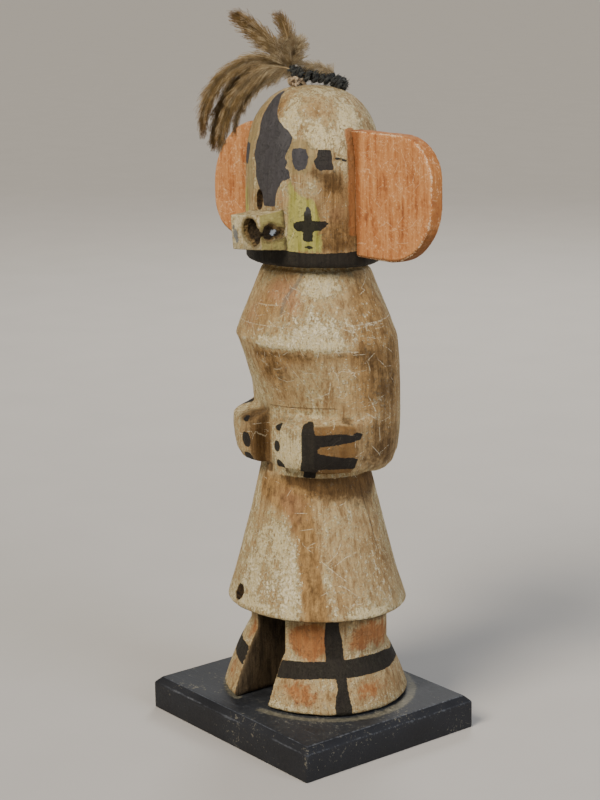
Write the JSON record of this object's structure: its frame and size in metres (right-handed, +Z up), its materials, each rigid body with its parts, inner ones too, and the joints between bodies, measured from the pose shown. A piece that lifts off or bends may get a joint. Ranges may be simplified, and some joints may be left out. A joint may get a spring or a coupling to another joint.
{
  "type": "carved kachina doll",
  "caption": "Carved wooden kachina doll with a domed mask-head, block snout, slab ears, forearms in relief, a flared skirt and a feather tuft, standing on a bevelled black plinth.",
  "frame": {"origin": "middle of the plinth's underside", "axes": "+Z up the figure, -Y the way its snout points, +X the doll's own left"},
  "size_m": [0.1322, 0.0846, 0.2806],
  "materials": {
    "plinth_board": "black paint, satin, scuffed and dusty",
    "painted_carving": "old white kaolin paint worn to the wood, matte",
    "painted_ear": "old orange-ochre paint, matte, scratched",
    "painted_snout": "old yellow-green and white paint, matte, chipped",
    "yarn": "coarse black-grey yarn",
    "thong": "dry tan thong",
    "down": "brown-olive downy feather"
  },
  "bodies": {
    "root": {"plinth": "plinth_board", "carved_figure": "painted_carving", "left_ear": "painted_ear", "right_ear": "painted_ear", "snout": "painted_snout", "yarn_wrap": "yarn", "tie_knot": "thong", "feather_1": "down", "feather_2": "down", "feather_3": "down", "feather_4": "down", "feather_5": "down", "feather_6": "down", "feather_7": "down"}
  },
  "joints": []
}
